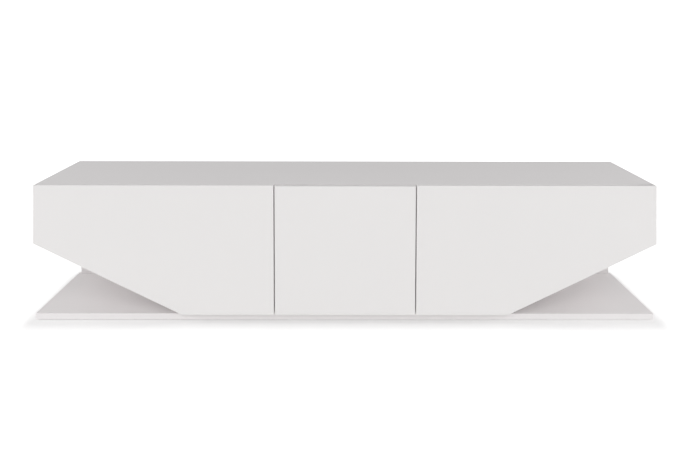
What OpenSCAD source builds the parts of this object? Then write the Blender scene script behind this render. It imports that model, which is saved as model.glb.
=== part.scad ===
// Low media stand: a folded carcass with slanted lower ends on a flat floor plate, with a
// full-width back panel behind it and three handle-less overlay doors in front. +X is to the
// right, -Y is the front, +Z is up, and the origin lies on the floor under the middle of the
// stand. All lengths are in millimetres.

/* [Body] */
// Overall width, which is the width of the floor plate
body_w = 1800; // [1500:10:2200]
// How far the outer corners of side walls and slants lie inside the ends of the floor plate
corner_inset = 3; // [0:0.5:20]
// How far the ends of the top surface lie inside the ends of the floor plate
top_inset = 7; // [0:0.5:30]
// How far the ends of the back panel lie inside the ends of the top surface
back_inset = 4; // [0:0.5:8]
// Overall depth, from the door faces to the back
body_d = 450; // [370:5:560]
// Overall height, from the floor to the top surface
body_h = 400; // [330:5:520]
// Thickness of every carcass board
board_t = 18; // [16:1:22]
// Width of the flat underside between the two slanted boards
foot_w = 934; // [700:10:1150]
// Height above the floor of the outer corner where side wall and slant meet
corner_h = 230; // [180:5:260]
// Distance between the middles of the two partitions
partition_pitch = 408; // [320:2:520]
// Thickness of the floor plate
base_t = 18; // [15:1:22]
// Thickness of the pads under the floor plate
glide_h = 2; // [1.5:0.5:5]
// Diameter of the pads under the floor plate
glide_d = 30; // [20:1:40]

/* [Doors] */
// Thickness of the doors
door_t = 16; // [16:0.5:20]
// Gap between two neighbouring doors
door_gap = 3; // [2.5:0.5:5]
// Gap between the back of a closed door and the carcass edges
door_standoff = 4; // [3.5:0.5:6]
// Gap under the doors, above the level of the floor plate
door_lift = 2; // [1:0.5:5]
// How far the centre door's top edge lies below the top surface
centre_drop = 2; // [1:0.5:6]

/* [Hinges] */
// Diameter of the hinge cups
cup_d = 35; // [26:0.5:40]
// Wood left between a hinge cup and the door's edge
cup_edge = 3; // [3:0.5:6]
// Distance from the door's edge to the hinge axis
axis_in = 8.5; // [8:0.5:9.5]
// Distance from the door's front face to the hinge axis
axis_front = 6; // [5.5:0.25:6.5]
// Diameter of the hinge pins
pin_d = 2.5; // [2:0.1:3]
// Length of the hinge arms behind the door
arm_l = 74; // [62:1:90]
// Width of the cranked arm
arm_w = 11; // [8:0.5:12]
// Distance from the side doors' top and bottom edges to their hinges
side_hinge_inset = 96; // [80:1:110]
// Distance from the centre door's top and bottom edges to its hinges
centre_hinge_inset = 50; // [30:1:56]
// Distance from the carcass front edge to the line of plate screws
plate_line = 37; // [32:1:45]

/* [Shelves] */
// Thickness of the shelves
shelf_t = 18; // [15:1:22]
// Height of the centre shelf's underside above the bottom board
centre_shelf_up = 162; // [90:2:190]
// Height of the side shelves' undersides above the inner corner of side wall and slant
side_shelf_up = 16; // [10:1:24]
// Clearance between a shelf's ends and the walls
shelf_clear = 1; // [0.5:0.5:3]
// Diameter of the shelf pins and their holes
shelf_pin_d = 5; // [4:0.5:6]
// Distance between two shelf pin holes in a row
pin_pitch = 32; // [25:1:32]

/* [Back] */
// Diameter of the cable holes in the back
cable_d = 60; // [40:1:80]
// Height of the cable holes above the bottom board
cable_up = 100; // [60:1:110]
// Distance of the outer cable holes from the middle
cable_x = 400; // [330:5:450]
// Wall of a cable grommet's sleeve
grommet_wall = 2.5; // [2:0.5:5]

/* [Latches] */
// Stroke of a latch plunger when its door is pushed
latch_stroke = 2.5; // [1.5:0.1:2.8]
// Diameter of a latch plunger
plunger_d = 8; // [6:0.5:9]
// Length of a latch housing
latch_l = 60; // [50:1:80]
// Distance from a compartment's side wall to the latch axis
latch_side = 22; // [20:1:40]

/* [Fasteners] */
// Diameter of the wood screws
screw_d = 4; // [3:0.5:5]
// Diameter of the wooden dowels
dowel_d = 8; // [6:1:10]
// Diameter of the cam housings
cam_d = 15; // [12:1:16]
// Diameter of the cam bolts
cam_bolt_d = 6; // [5:0.5:7]

/* [Hidden] */
$fn = 64;

// Side of the stand a door, hinge or latch belongs to
LEFT = -1;
CENTRE = 0;
RIGHT = 1;
DOORS = [LEFT, CENTRE, RIGHT];

// Colours
lacquer = [0.89, 0.88, 0.87];
steel = [0.72, 0.73, 0.75];
nickel = [0.80, 0.79, 0.77];
grey_plastic = [0.62, 0.62, 0.63];
white_plastic = [0.90, 0.90, 0.88];
beech = [0.80, 0.66, 0.47];
felt = [0.35, 0.34, 0.33];

// Main planes and levels
half_w = body_w / 2;
back_y = body_d / 2;
door_face_y = -body_d / 2;
door_back_y = door_face_y + door_t;
front_y = door_back_y + door_standoff;
panel_front_y = back_y - board_t;
base_top = glide_h + base_t;
floor_z = base_top + board_t;
ceiling_z = body_h - board_t;

// Corners of the folded carcass, right half: foot, outer corner and top, and their inner mitres
function flip_x(p) = [-p[0], p[1]];
function unit(v) = v / norm(v);
function left_of(v) = [-v[1], v[0]];
function mitre_in(n1, n2) = board_t * (n1 + n2) / (1 + n1 * n2);
function inner(a, b, c) = b + mitre_in(left_of(unit(b - a)), left_of(unit(c - b)));
foot_x = foot_w / 2;
corner_x = half_w - corner_inset;
top_x = half_w - top_inset;
foot_pt = [foot_x, base_top];
corner_pt = [corner_x, corner_h];
top_pt = [top_x, body_h];
foot_in = inner(flip_x(foot_pt), foot_pt, corner_pt);
corner_in = inner(foot_pt, corner_pt, top_pt);
top_in = inner(corner_pt, top_pt, flip_x(top_pt));

// Where the outer face of a side wall, and its inner face, stand at height z
function wall_out_x(z) = top_x + (corner_x - top_x) * (body_h - z) / (body_h - corner_h);
function wall_in_x(z) =
    top_in[0] + (corner_in[0] - top_in[0]) * (top_in[1] - z) / (top_in[1] - corner_in[1]);

// Ends of the back panel, and where its screws enter the side walls
back_x = top_x - back_inset;
function back_screw_x(z) = (wall_in_x(z) + back_x) / 2;

// Partitions
part_x = partition_pitch / 2;
part_in = part_x - board_t / 2;
part_out = part_x + board_t / 2;

// Doors
door_low_z = base_top + door_lift;
side_door_x = part_x + door_gap / 2;
centre_door_x = part_x - door_gap / 2;
centre_top_z = body_h - centre_drop;
slant_low_x = foot_x + (corner_x - foot_x) * door_lift / (corner_h - base_top);

// Hinges, in a frame with U from the door's hinge edge into the door and V from the door's
// back face into the cabinet
cup_r = cup_d / 2;
cup_u = cup_edge + cup_r;
axis_v = axis_front - door_t;
pin_r = pin_d / 2;
pin_fit = 0.05;
eye_wall = 0.95;
eye_r = pin_r + eye_wall;
eye_clear = 0.3;
cup_floor = 0.5;
cup_pocket = -axis_v + eye_r + eye_clear;
cup_depth = cup_pocket + cup_floor;
cup_wall = 1;
cup_fit = 0.1;
flange_t = 1;
flange_rim = 1.5;
face_u = board_t / 2 - door_gap / 2;
front_v = door_standoff;
plate_t = 2;
plate_half = 22;
plate_screw_dz = 16;
plate_screw_v = front_v + plate_line;
plate_wing = 10;
arm_t = 2.4;
arm_gap = 0.7;
arm_u = axis_in - axis_v + flange_t + arm_gap;
rail_u = face_u + plate_t;
rail_setback = 10;
rail_front = front_v + rail_setback;
rail_short = 6;
rail_back = front_v + arm_l - rail_short;
cheek_t = 1.2;
cheek_lift = 0.5;
rail_fit = 0.2;
rail_half = arm_w / 2 - cheek_t - rail_fit;
wing_dz = 24;
wing_du = 6;
wing_w = 12;
pin_end = 4;
pin_half = arm_w / 2 + pin_end;
pin_room = 0.5;
pocket_half = arm_w / 2 + pin_room;
adjust_in = 20;
clamp_in = 48;
adjust_v = front_v + adjust_in;
clamp_v = front_v + clamp_in;
head_lip = 1.5;
cup_screw_d = 3.5;
cup_screw_l = 11;
plate_screw_d = 5;
plate_screw_l = 11;
plate_head_t = 1.5;
arm_screw_d = 4;
arm_screw_l = 8;
arm_head_t = 1.8;

// Shelves and pins
shelf_setback = 11;
shelf_front_y = front_y + arm_l + shelf_setback;
centre_shelf_z = floor_z + centre_shelf_up;
side_shelf_z = corner_in[1] + side_shelf_up;
shelf_pin_r = shelf_pin_d / 2;
shelf_pin_in = 8;
shelf_pin_out = 8;
pin_front_in = 40;
pin_back_in = 47;
pin_rows = [shelf_front_y + pin_front_in, panel_front_y - pin_back_in];
side_pin_z = side_shelf_z - shelf_pin_r;
centre_pin_z = centre_shelf_z - shelf_pin_r;
side_holes = [0, 1, 2];
centre_holes = [-2, -1, 0, 1, 2];

// Joints between partitions and boards
dowel_panel = 12;
dowel_part = 18;
dowel_front_in = 75;
dowel_back_in = 37;
dowel_rows = [front_y + dowel_front_in, panel_front_y - dowel_back_in];
cam_in = 34;
cam_past_bolt = 0.5;
cam_h = board_t / 2 + cam_bolt_d / 2 + cam_past_bolt;
cam_spacing = 40;
cam_rows = [dowel_rows[0] + cam_spacing, dowel_rows[1] - cam_spacing];
cam_bolt_panel = 10;
cam_bolt_fit = 0.2;

// Back, base and glides
grommet_fit = 0.1;
grommet_rim = 4;
grommet_flange = 2;
cable_spots = [-cable_x, 0, cable_x];
cable_z = floor_z + cable_up;
screw_head_h = 2.3;
screw_head_r = screw_d;
base_screw_bite = 14;
base_screw_l = base_t + base_screw_bite;
base_screw_end = 50;
base_screw_front = 40;
base_screw_back = 22;
base_screw_x = [-foot_x + base_screw_end, 0, foot_x - base_screw_end];
base_screw_y = [front_y + base_screw_front, panel_front_y - base_screw_back];
back_screw_bite = 22;
back_screw_l = board_t + back_screw_bite;
back_screw_inset = 42;
glide_end = 60;
glide_mid = 170;
glide_edge = 30;
glide_x = [-half_w + glide_end, -foot_x + glide_mid, foot_x - glide_mid, half_w - glide_end];
glide_y = [front_y + glide_edge, back_y - glide_edge];

// Latches
plunger_r = plunger_d / 2;
plunger_fit = 0.08;
latch_side_wall = 5;
latch_top_wall = 3;
latch_w = plunger_d + 2 * latch_side_wall;
latch_h = plunger_d + 2 * latch_top_wall;
latch_set = 2;
latch_axis_z = ceiling_z - latch_h / 2;
latch_end_wall = 10;
latch_bore_l = latch_l - latch_end_wall;
latch_ear_w = 8;
latch_ear_t = 2.5;
latch_ear_l = 14;
latch_ear_in = 24;
latch_ear_y = front_y + latch_set + latch_ear_in;
latch_screw_l = 12;
latch_screw_d = 3;
latch_head_h = 1.8;
strike_r = 8;
strike_t = 1;
strike_stub_r = 1.5;
strike_stub_l = 6;
strike_clear = 0.2;
plunger_tip_y = door_back_y + strike_t + strike_clear;
spring_pressed_l = 17.5;
spring_l = spring_pressed_l + latch_stroke;
plunger_back_y = front_y + latch_set + latch_bore_l - spring_l;
spring_wall = 0.8;
spring_side_clear = 0.4;

// Values that depend on the door: left, centre or right
function edge_x(d) = d == CENTRE ? -centre_door_x : d * side_door_x;
function hand(d) = d == LEFT ? -1 : 1;
function door_top(d) = d == CENTRE ? centre_top_z : body_h;
function hinge_inset(d) = d == CENTRE ? centre_hinge_inset : side_hinge_inset;
function hinge_z(d) = [door_low_z + hinge_inset(d), door_top(d) - hinge_inset(d)];
function latch_x(d) = d == CENTRE ? part_in - latch_side : d * (top_in[0] - latch_side);

// --- shared shapes ---------------------------------------------------------------------------

// A board whose outline lies in the XZ plane, from y0 back to y1
module board(outline, y0, y1) {
    translate([0, y1, 0])
        rotate([90, 0, 0])
            linear_extrude(y1 - y0)
                polygon(outline);
}

module mirrored(side) {
    if (side < 0)
        mirror([1, 0, 0]) children();
    else
        children();
}

// A cylinder that starts at the origin and runs along +Y, +X or +Z
module rod_y(r, l) {
    rotate([-90, 0, 0]) cylinder(r = r, h = l);
}

module rod_x(r, l) {
    rotate([0, 90, 0]) cylinder(r = r, h = l);
}

// A countersunk wood screw: head face at the origin, shank along +Z
module wood_screw(l) {
    cylinder(r1 = screw_head_r, r2 = screw_d / 2, h = screw_head_h);
    cylinder(r = screw_d / 2, h = l);
}

// Places its children at each hinge of a door, in the hinge's U, V, Z frame
module at_hinges(d) {
    for (z = hinge_z(d))
        translate([edge_x(d), door_back_y, z])
            mirrored(hand(d)) children();
}

module at_latch(d) {
    translate([latch_x(d), 0, latch_axis_z]) children();
}

module at_plate_screws() {
    for (dz = [-plate_screw_dz, plate_screw_dz])
        translate([0, plate_screw_v, dz]) children();
}

module at_base_screws() {
    for (x = base_screw_x, y = base_screw_y)
        translate([x, y, glide_h]) children();
}

// Screws through the back: into the partitions, the side walls and the bottom board
module at_back_screws() {
    spots = concat(
        [for (s = [LEFT, RIGHT], z = [floor_z + back_screw_inset, ceiling_z - back_screw_inset])
            [s * part_x, z]],
        [for (s = [LEFT, RIGHT], z = [corner_in[1] + board_t, ceiling_z - back_screw_inset])
            [s * back_screw_x(z), z]],
        [for (s = [LEFT, RIGHT]) [s * (foot_x + part_x) / 2, base_top + board_t / 2]]
    );
    for (p = spots)
        translate([p[0], back_y, p[1]]) rotate([90, 0, 0]) children();
}

// The four corners where a partition meets the bottom and top boards, pointing into the partition
module at_partition_ends(side, rows) {
    for (y = rows) {
        translate([side * part_x, y, floor_z]) children();
        translate([side * part_x, y, ceiling_z]) mirror([0, 0, 1]) children();
    }
}

module dowel() {
    translate([0, 0, -dowel_panel]) cylinder(d = dowel_d, h = dowel_panel + dowel_part);
}

module cam_bolt(play) {
    translate([0, 0, -cam_bolt_panel]) cylinder(d = cam_bolt_d, h = cam_bolt_panel);
    cylinder(r = cam_bolt_d / 2 + play, h = cam_in);
}

module cam_body(side) {
    translate([side * (board_t / 2 - cam_h), 0, cam_in])
        mirrored(side) rod_x(cam_d / 2, cam_h);
}

module partition_joint_cuts(side) {
    at_partition_ends(side, dowel_rows) dowel();
    at_partition_ends(side, cam_rows) cam_bolt(cam_bolt_fit);
    at_partition_ends(side, cam_rows) cam_body(side);
}

module board_joint_cuts() {
    for (side = [LEFT, RIGHT]) {
        at_partition_ends(side, dowel_rows) dowel();
        at_partition_ends(side, cam_rows) cam_bolt(0);
    }
}

// Shelf pins, or the holes for them, pointing along +X out of a wall at the origin
module shelf_pin() {
    translate([-shelf_pin_in, 0, 0]) rod_x(shelf_pin_r, shelf_pin_in + shelf_pin_out);
}

module pin_holes(steps) {
    for (y = pin_rows, n = steps)
        translate([-shelf_pin_in, y, n * pin_pitch]) rod_x(shelf_pin_r, shelf_pin_in + shelf_pin_out);
}

// --- carcass ---------------------------------------------------------------------------------

module base_panel() {
    color(lacquer)
        difference() {
            translate([-half_w, front_y, glide_h]) cube([body_w, back_y - front_y, base_t]);
            at_base_screws() wood_screw(base_screw_l);
        }
}

module base_glides() {
    color(felt)
        for (x = glide_x, y = glide_y)
            translate([x, y, 0]) cylinder(d = glide_d, h = glide_h);
}

module base_screws() {
    color(steel) at_base_screws() wood_screw(base_screw_l);
}

module bottom_panel() {
    color(lacquer)
        difference() {
            board([flip_x(foot_pt), foot_pt, foot_in, flip_x(foot_in)], front_y, panel_front_y);
            at_base_screws() wood_screw(base_screw_l);
            at_back_screws() wood_screw(back_screw_l);
            board_joint_cuts();
        }
}

// Mitred to the side walls in front, and running to their outer faces where it covers the back
module top_panel() {
    rear_pt = [wall_out_x(ceiling_z), ceiling_z];
    color(lacquer)
        difference() {
            union() {
                board([flip_x(top_pt), top_pt, top_in, flip_x(top_in)], front_y, panel_front_y);
                board([flip_x(top_pt), top_pt, rear_pt, flip_x(rear_pt)], panel_front_y, back_y);
            }
            board_joint_cuts();
            for (d = DOORS)
                at_latch(d) latch_screw_spots() cylinder(d = latch_screw_d, h = latch_screw_l);
        }
}

module side_panel(side) {
    color(lacquer)
        difference() {
            mirrored(side)
                board([corner_pt, top_pt, top_in, corner_in], front_y, panel_front_y);
            for (n = side_holes)
                translate([side * wall_in_x(side_pin_z + n * pin_pitch), 0, side_pin_z])
                    mirrored(-side) pin_holes([n]);
            at_back_screws() wood_screw(back_screw_l);
        }
}

module left_side_panel() {
    side_panel(LEFT);
}

module right_side_panel() {
    side_panel(RIGHT);
}

module slant_panel(side) {
    color(lacquer)
        mirrored(side)
            board([foot_pt, corner_pt, corner_in, foot_in], front_y, panel_front_y);
}

module left_slant_panel() {
    slant_panel(LEFT);
}

module right_slant_panel() {
    slant_panel(RIGHT);
}

module partition(side) {
    color(lacquer)
        difference() {
            translate([side * part_x - board_t / 2, front_y, floor_z])
                cube([board_t, panel_front_y - front_y, ceiling_z - floor_z]);
            partition_joint_cuts(side);
            at_back_screws() wood_screw(back_screw_l);
            for (d = DOORS)
                at_hinges(d) at_plate_screws() plate_screw_shank();
            translate([side * part_in, 0, centre_pin_z]) mirrored(-side) pin_holes(centre_holes);
            translate([side * part_out, 0, side_pin_z]) mirrored(side) pin_holes(side_holes);
        }
}

module left_partition() {
    partition(LEFT);
}

module right_partition() {
    partition(RIGHT);
}

module partition_dowels() {
    color(beech)
        for (side = [LEFT, RIGHT])
            at_partition_ends(side, dowel_rows) dowel();
}

module cam_locks() {
    color(steel)
        for (side = [LEFT, RIGHT])
            difference() {
                at_partition_ends(side, cam_rows) cam_body(side);
                at_partition_ends(side, cam_rows) cam_bolt(cam_bolt_fit);
            }
}

module cam_bolts() {
    color(steel)
        for (side = [LEFT, RIGHT])
            at_partition_ends(side, cam_rows) cam_bolt(0);
}

// A full-width panel that stands on the floor plate and closes the space behind the slants
module back_panel() {
    color(lacquer)
        difference() {
            translate([-back_x, panel_front_y, base_top])
                cube([2 * back_x, board_t, ceiling_z - base_top]);
            for (x = cable_spots)
                translate([x, panel_front_y, cable_z]) rod_y(cable_d / 2, board_t);
            at_back_screws() wood_screw(back_screw_l);
        }
}

module back_screws() {
    color(steel) at_back_screws() wood_screw(back_screw_l);
}

// Rings pushed into the cable holes from inside
module cable_grommets() {
    sleeve_r = cable_d / 2 - grommet_fit;
    color(grey_plastic)
        for (x = cable_spots)
            translate([x, panel_front_y, cable_z])
                difference() {
                    union() {
                        rod_y(sleeve_r, board_t);
                        translate([0, -grommet_flange, 0])
                            rod_y(sleeve_r + grommet_rim, grommet_flange);
                    }
                    translate([0, -grommet_flange, 0])
                        rod_y(sleeve_r - grommet_wall, board_t + grommet_flange);
                }
}

// --- shelves ---------------------------------------------------------------------------------

module shelf(x0, x1, z) {
    color(lacquer)
        translate([x0 + shelf_clear, shelf_front_y, z])
            cube([x1 - x0 - 2 * shelf_clear, panel_front_y - shelf_clear - shelf_front_y, shelf_t]);
}

module left_shelf() {
    shelf(-wall_in_x(side_shelf_z + shelf_t), -part_out, side_shelf_z);
}

module centre_shelf() {
    shelf(-part_in, part_in, centre_shelf_z);
}

module right_shelf() {
    shelf(part_out, wall_in_x(side_shelf_z + shelf_t), side_shelf_z);
}

module shelf_pins() {
    color(steel)
        for (side = [LEFT, RIGHT], y = pin_rows) {
            translate([side * part_in, y, centre_pin_z]) mirrored(-side) shelf_pin();
            translate([side * part_out, y, side_pin_z]) mirrored(side) shelf_pin();
            translate([side * wall_in_x(side_pin_z), y, side_pin_z]) mirrored(-side) shelf_pin();
        }
}

// --- hinges ----------------------------------------------------------------------------------
// Each hinge is a cranked arm with one pin in a cup: the arm is clamped on a plate on the
// partition, dips into the cup and holds the pin that the door turns about.

module plate_screw_shank() {
    translate([face_u - plate_screw_l, 0, 0]) rod_x(plate_screw_d / 2, plate_screw_l + plate_t);
}

module plate_screw() {
    plate_screw_shank();
    translate([rail_u, 0, 0]) rod_x(plate_screw_d / 2 + head_lip, plate_head_t);
}

module arm_screw_pair(head) {
    for (v = [adjust_v, clamp_v])
        translate([arm_u + arm_t, v, 0])
            mirror([1, 0, 0]) rod_x(arm_screw_d / 2, arm_screw_l);
    if (head)
        for (v = [adjust_v, clamp_v])
            translate([arm_u + arm_t, v, 0]) rod_x(arm_screw_d / 2 + head_lip, arm_head_t);
}

module hinge_plates() {
    color(nickel)
        for (d = DOORS)
            at_hinges(d)
                difference() {
                    union() {
                        translate([face_u, plate_screw_v - plate_wing, -plate_half])
                            cube([plate_t, 2 * plate_wing, 2 * plate_half]);
                        translate([face_u, rail_front, -rail_half])
                            cube([arm_u - face_u, rail_back - rail_front, 2 * rail_half]);
                    }
                    at_plate_screws() plate_screw_shank();
                    arm_screw_pair(false);
                }
}

module hinge_plate_screws() {
    color(steel)
        for (d = DOORS)
            at_hinges(d) at_plate_screws() plate_screw();
}

module hinge_arm_screws() {
    color(steel)
        for (d = DOORS)
            at_hinges(d) arm_screw_pair(true);
}

// Outline of the cranked arm seen from above: eye, dip into the cup, and web along the plate
module arm_profile() {
    translate([axis_in, axis_v]) circle(r = eye_r);
    translate([axis_in, axis_v - arm_t / 2]) square([arm_u + arm_t - axis_in, arm_t]);
    translate([arm_u, axis_v - arm_t / 2]) square([arm_t, arm_l + front_v - axis_v + arm_t / 2]);
}

module hinge_arms() {
    color(nickel)
        for (d = DOORS)
            at_hinges(d)
                difference() {
                    union() {
                        translate([0, 0, -arm_w / 2]) linear_extrude(arm_w) arm_profile();
                        for (s = [-1, 1])
                            translate([
                                rail_u + cheek_lift, rail_front, s * (arm_w - cheek_t) / 2 - cheek_t / 2
                            ])
                                cube([arm_u - rail_u, front_v + arm_l - rail_front, cheek_t]);
                    }
                    translate([axis_in, axis_v, -arm_w]) cylinder(r = pin_r + pin_fit, h = 2 * arm_w);
                    arm_screw_pair(false);
                }
}

module hinge_pins(d) {
    color(steel)
        at_hinges(d)
            translate([axis_in, axis_v, -pin_half]) cylinder(r = pin_r, h = 2 * pin_half);
}

module cup_screw_spots() {
    for (s = [-1, 1])
        translate([cup_u + wing_du, flange_t, s * wing_dz]) children();
}

module cup_screw_shank() {
    mirror([0, 1, 0]) rod_y(cup_screw_d / 2, cup_screw_l);
}

module hinge_cups(d) {
    color(nickel)
        at_hinges(d)
            difference() {
                union() {
                    translate([cup_u, -cup_depth, 0]) rod_y(cup_r - cup_fit, cup_depth);
                    translate([cup_u, 0, 0]) rod_y(cup_r + flange_rim, flange_t);
                    translate([cup_u + wing_du - wing_w / 2, 0, -wing_dz - wing_w / 2])
                        cube([wing_w, flange_t, 2 * wing_dz + wing_w]);
                }
                intersection() {
                    translate([cup_u, -cup_pocket, 0])
                        rod_y(cup_r - cup_fit - cup_wall, cup_pocket + 2 * flange_t);
                    translate([0, -cup_pocket, -pocket_half])
                        cube([2 * cup_u, cup_pocket + 2 * flange_t, 2 * pocket_half]);
                }
                translate([axis_in, axis_v, -pin_half]) cylinder(r = pin_r, h = 2 * pin_half);
                cup_screw_spots() cup_screw_shank();
            }
}

module cup_screws(d) {
    color(steel)
        at_hinges(d)
            cup_screw_spots() {
                cup_screw_shank();
                rod_y(cup_screw_d / 2 + head_lip, flange_t);
            }
}

// --- latches ---------------------------------------------------------------------------------
// A sprung plunger in a housing under the top: a push on the closed door works it.

module latch_screw_spots() {
    for (s = [-1, 1])
        translate([
            s * (latch_w + latch_ear_w) / 2, latch_ear_y + latch_ear_l / 2, latch_h / 2 - latch_ear_t
        ])
            children();
}

module latch_bodies() {
    color(grey_plastic)
        for (d = DOORS)
            at_latch(d)
                difference() {
                    union() {
                        translate([-latch_w / 2, front_y + latch_set, -latch_h / 2])
                            cube([latch_w, latch_l, latch_h]);
                        translate([
                            -latch_w / 2 - latch_ear_w, latch_ear_y, latch_h / 2 - latch_ear_t
                        ])
                            cube([latch_w + 2 * latch_ear_w, latch_ear_l, latch_ear_t]);
                    }
                    translate([0, front_y + latch_set, 0])
                        rod_y(plunger_r + plunger_fit, latch_bore_l);
                    latch_screw_spots() cylinder(d = latch_screw_d, h = latch_screw_l);
                }
}

module latch_screws() {
    color(steel)
        for (d = DOORS)
            at_latch(d) {
                latch_screw_spots() cylinder(d = latch_screw_d, h = latch_screw_l);
                latch_screw_spots()
                    translate([0, 0, -latch_head_h]) cylinder(d = 2 * latch_screw_d, h = latch_head_h);
            }
}

module latch_spring(d) {
    spring_r = plunger_r - spring_side_clear;
    color(steel)
        at_latch(d)
            translate([0, plunger_back_y, 0])
                difference() {
                    rod_y(spring_r, spring_l);
                    rod_y(spring_r - spring_wall, spring_l);
                }
}

module latch_plunger(d) {
    color(white_plastic)
        at_latch(d)
            translate([0, plunger_tip_y, 0]) rod_y(plunger_r, plunger_back_y - plunger_tip_y);
}

module strike_shape() {
    mirror([0, 1, 0]) rod_y(strike_stub_r, strike_stub_l);
}

module strike_plate(d) {
    color(steel)
        at_latch(d)
            translate([0, door_back_y, 0]) {
                strike_shape();
                rod_y(strike_r, strike_t);
            }
}

// --- doors -----------------------------------------------------------------------------------

module door_cuts(d) {
    at_hinges(d) {
        translate([cup_u, -cup_depth, 0]) rod_y(cup_r, cup_depth);
        cup_screw_spots() cup_screw_shank();
    }
    at_latch(d) translate([0, door_back_y, 0]) strike_shape();
}

module side_door(d) {
    color(lacquer)
        difference() {
            mirrored(d)
                board([
                    [side_door_x, door_low_z], [slant_low_x, door_low_z], corner_pt, top_pt,
                    [side_door_x, body_h]
                ], door_face_y, door_back_y);
            door_cuts(d);
        }
}

module left_door() {
    side_door(LEFT);
}

module right_door() {
    side_door(RIGHT);
}

module centre_door() {
    color(lacquer)
        difference() {
            translate([-centre_door_x, door_face_y, door_low_z])
                cube([2 * centre_door_x, door_t, centre_top_z - door_low_z]);
            door_cuts(CENTRE);
        }
}

// --- nodes -----------------------------------------------------------------------------------

base_panel();
base_glides();
base_screws();
bottom_panel();
top_panel();
left_side_panel();
right_side_panel();
left_slant_panel();
right_slant_panel();
left_partition();
right_partition();
partition_dowels();
cam_locks();
cam_bolts();
back_panel();
back_screws();
cable_grommets();
left_shelf();
centre_shelf();
right_shelf();
shelf_pins();
hinge_plates();
hinge_arms();
hinge_plate_screws();
hinge_arm_screws();
latch_bodies();
latch_screws();
latch_spring(LEFT);  // left_latch_spring
latch_spring(CENTRE);  // centre_latch_spring
latch_spring(RIGHT);  // right_latch_spring
latch_plunger(LEFT);  // left_latch_plunger
latch_plunger(CENTRE);  // centre_latch_plunger
latch_plunger(RIGHT);  // right_latch_plunger
left_door();
hinge_cups(LEFT);  // left_hinge_cups
hinge_pins(LEFT);  // left_hinge_pins
cup_screws(LEFT);  // left_cup_screws
strike_plate(LEFT);  // left_strike_plate
centre_door();
hinge_cups(CENTRE);  // centre_hinge_cups
hinge_pins(CENTRE);  // centre_hinge_pins
cup_screws(CENTRE);  // centre_cup_screws
strike_plate(CENTRE);  // centre_strike_plate
right_door();
hinge_cups(RIGHT);  // right_hinge_cups
hinge_pins(RIGHT);  // right_hinge_pins
cup_screws(RIGHT);  // right_cup_screws
strike_plate(RIGHT);  // right_strike_plate
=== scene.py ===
import math

import bpy
from mathutils import Matrix, Vector


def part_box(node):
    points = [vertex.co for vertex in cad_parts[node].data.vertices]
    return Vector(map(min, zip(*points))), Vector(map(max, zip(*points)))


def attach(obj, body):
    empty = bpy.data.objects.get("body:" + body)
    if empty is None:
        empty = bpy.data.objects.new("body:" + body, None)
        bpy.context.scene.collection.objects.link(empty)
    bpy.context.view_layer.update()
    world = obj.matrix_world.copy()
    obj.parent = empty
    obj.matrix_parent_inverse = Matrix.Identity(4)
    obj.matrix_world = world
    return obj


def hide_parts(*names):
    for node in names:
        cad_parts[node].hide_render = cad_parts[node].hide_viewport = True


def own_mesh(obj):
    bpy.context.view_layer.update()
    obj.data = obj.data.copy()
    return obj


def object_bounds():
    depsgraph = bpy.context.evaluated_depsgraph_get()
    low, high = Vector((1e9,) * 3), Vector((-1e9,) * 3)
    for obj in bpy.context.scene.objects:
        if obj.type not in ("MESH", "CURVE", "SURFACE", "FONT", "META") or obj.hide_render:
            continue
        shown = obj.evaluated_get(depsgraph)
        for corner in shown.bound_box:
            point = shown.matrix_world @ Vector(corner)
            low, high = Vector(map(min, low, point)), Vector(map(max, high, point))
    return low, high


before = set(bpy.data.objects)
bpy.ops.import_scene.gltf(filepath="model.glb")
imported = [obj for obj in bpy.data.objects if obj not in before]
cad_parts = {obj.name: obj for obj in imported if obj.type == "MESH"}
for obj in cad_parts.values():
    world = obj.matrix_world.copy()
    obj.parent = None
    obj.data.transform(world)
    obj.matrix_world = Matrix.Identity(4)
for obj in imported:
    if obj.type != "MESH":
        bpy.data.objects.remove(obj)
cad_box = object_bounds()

# --- camera ----------------------------------------------------------------------------------
# It stands in front of the doors at waist height and looks a little down at them. The lens is
# shifted down, so that the upright edges stay almost parallel.

camera_data = bpy.data.cameras.new("camera")
camera_data.lens = 45.71
camera_data.sensor_width = 36.0
camera_data.shift_x = 0.0029
camera_data.shift_y = -0.2118
camera_data.clip_end = 60.0
camera = bpy.data.objects.new("camera", camera_data)
camera.location = (0.0005, -2.7414, 0.8638)
look_down = math.radians(4.0)
lean = math.radians(-0.104)
turn_right = math.radians(-0.150)
camera.rotation_euler = (math.pi / 2 - look_down, lean, turn_right)
bpy.context.scene.collection.objects.link(camera)
bpy.context.scene.camera = camera

# --- studio ----------------------------------------------------------------------------------
# A white floor in an even white surround, with a wide soft light in front of the doors and two
# smaller ones at the sides, which reach in under the slanted ends.

world = bpy.data.worlds.new("studio")
bpy.context.scene.world = world
bpy.context.scene.view_settings.view_transform = "Standard"
world.use_nodes = True
surround = world.node_tree.nodes["Background"]
surround.inputs["Color"].default_value = (1.0, 1.0, 1.0, 1.0)
surround.inputs["Strength"].default_value = 0.536
backdrop = world.node_tree.nodes.new("ShaderNodeBackground")
backdrop.inputs["Color"].default_value = (1.0, 1.0, 1.0, 1.0)
backdrop.inputs["Strength"].default_value = 1.1
ray_kind = world.node_tree.nodes.new("ShaderNodeLightPath")
seen_or_felt = world.node_tree.nodes.new("ShaderNodeMixShader")
world_out = world.node_tree.nodes["World Output"]
world.node_tree.links.new(ray_kind.outputs["Is Camera Ray"], seen_or_felt.inputs[0])
world.node_tree.links.new(surround.outputs[0], seen_or_felt.inputs[1])
world.node_tree.links.new(backdrop.outputs[0], seen_or_felt.inputs[2])
world.node_tree.links.new(seen_or_felt.outputs[0], world_out.inputs["Surface"])


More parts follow.
